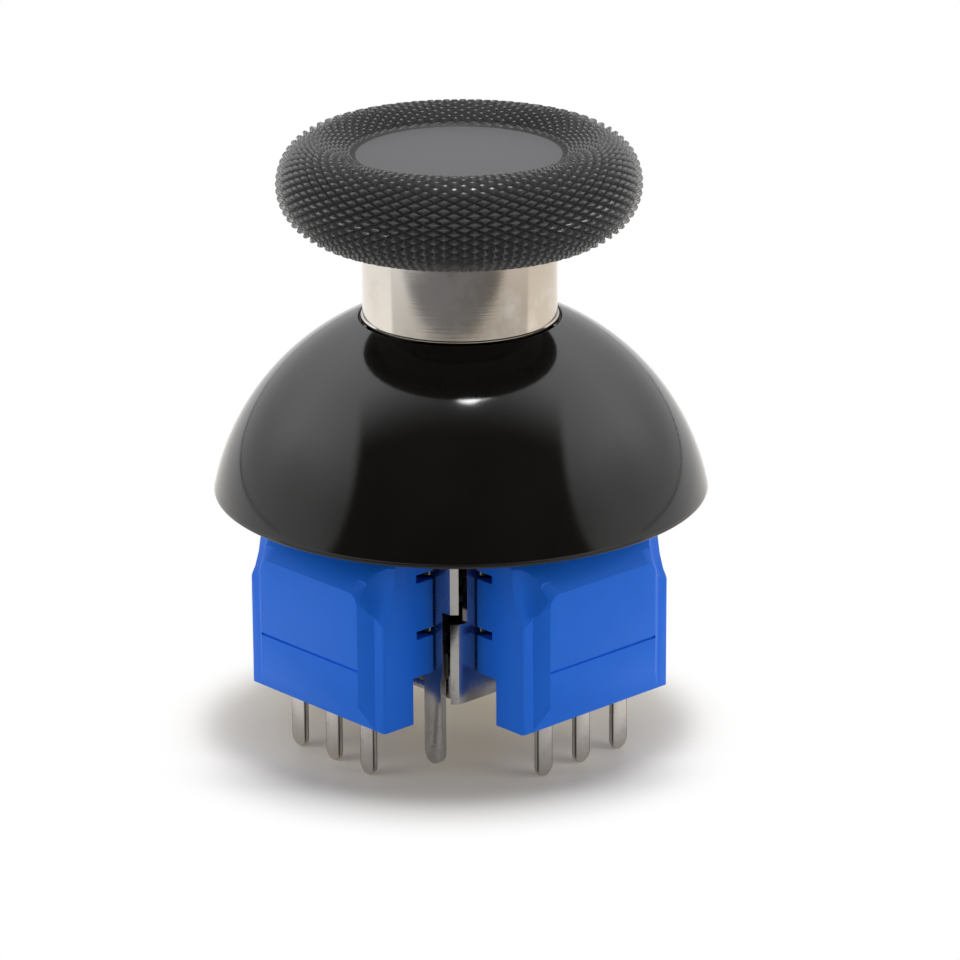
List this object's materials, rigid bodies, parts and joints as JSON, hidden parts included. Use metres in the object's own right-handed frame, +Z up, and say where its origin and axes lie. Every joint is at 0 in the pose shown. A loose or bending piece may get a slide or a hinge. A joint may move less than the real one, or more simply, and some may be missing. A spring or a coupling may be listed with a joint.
{
  "type": "controller analog stick",
  "caption": "Two-axis spring-centred thumbstick module with magnetic rotary sensors, a press switch and a knurled pull-off topper.",
  "frame": {"origin": "on the stick's axis, in the plane of the circuit board that the module is soldered to", "axes": "+Z up along the stick at rest; +X and -Y are the two sides that carry the sensors"},
  "size_m": [0.0244, 0.024, 0.0296],
  "materials": {
    "nickel_steel": "bright",
    "blue_plastic": "satin",
    "black_gloss_plastic": "polished",
    "black_grip": "satin",
    "satin_nickel": "satin",
    "tinned_pin": "bright",
    "grey_nylon": "matt",
    "black_acetal": "satin",
    "circuit_board": "satin",
    "magnet": "bright",
    "spring_wire": "bright"
  },
  "bodies": {
    "module": {"metal_frame": "nickel_steel", "base_plate": "nickel_steel", "x_sensor_housing": "blue_plastic", "x_sensor_board": "circuit_board", "x_sensor_chip": "black_acetal", "x_sensor_pin_1": "tinned_pin", "x_sensor_pin_2": "tinned_pin", "x_sensor_pin_3": "tinned_pin", "y_sensor_housing": "blue_plastic", "y_sensor_board": "circuit_board", "y_sensor_chip": "black_acetal", "y_sensor_pin_1": "tinned_pin", "y_sensor_pin_2": "tinned_pin", "y_sensor_pin_3": "tinned_pin", "switch_housing": "grey_nylon", "switch_cover": "nickel_steel", "switch_dome": "nickel_steel", "switch_pin_1": "tinned_pin", "switch_pin_2": "tinned_pin"},
    "x_rotor": {"x_magnet_holder": "black_acetal", "x_magnet": "magnet"},
    "lower_rocker": {"x_rocker": "black_acetal", "pivot_pin": "nickel_steel"},
    "stick": {"stick_shaft": "nickel_steel", "dome": "black_gloss_plastic", "neck_collar": "satin_nickel", "neck_magnet": "magnet"},
    "y_rotor": {"y_rocker": "black_acetal", "y_magnet_holder": "black_acetal", "y_magnet": "magnet"},
    "spring_cup": {"spring_seat": "black_acetal", "return_spring": "spring_wire"},
    "plunger": {"switch_plunger": "grey_nylon"},
    "grip": {"topper": "black_grip", "topper_magnet": "magnet"}
  },
  "joints": [
    {"name": "tilt_x", "type": "hinge", "parent": "module", "child": "x_rotor", "pos_m": [0, 0, 0.0063], "axis": [1, 0, 0], "range_deg": [-18, 18], "stiffness_Nm_per_rad": 0.0127},
    {"name": "press", "type": "hinge", "parent": "x_rotor", "child": "lower_rocker", "pos_m": [0.00602, 0, 0.0063], "axis": [0, -1, 0], "range_deg": [0, 1.25], "stiffness_Nm_per_rad": 1.1, "springref_deg": -0.03},
    {"name": "tilt_y", "type": "hinge", "parent": "lower_rocker", "child": "stick", "pos_m": [0, 0, 0.0063], "axis": [0, 1, 0], "range_deg": [-18, 18], "stiffness_Nm_per_rad": 0.0127},
    {"name": "y_turn", "type": "hinge", "parent": "module", "child": "y_rotor", "pos_m": [0, 0, 0.0063], "axis": [0, 1, 0], "range_deg": [-18, 18]},
    {"name": "seat_drop", "type": "slide", "parent": "module", "child": "spring_cup", "axis": [0, 0, 1], "range_m": [-0.000132, 0], "deforming": ["return_spring"]},
    {"name": "plunger_drop", "type": "slide", "parent": "module", "child": "plunger", "axis": [0, 0, 1], "range_m": [-0.000336, 0]},
    {"name": "topper_pull", "type": "slide", "parent": "stick", "child": "grip", "axis": [0, 0, 1], "range_m": [0, 0.0045]}
  ],
  "couplings": [
    {"joint": "y_turn", "follows": "tilt_y", "ratio": 1},
    {"joint": "seat_drop", "follows": "press", "m_per_rad": -0.006025},
    {"joint": "plunger_drop", "follows": "press", "m_per_rad": -0.015375}
  ]
}
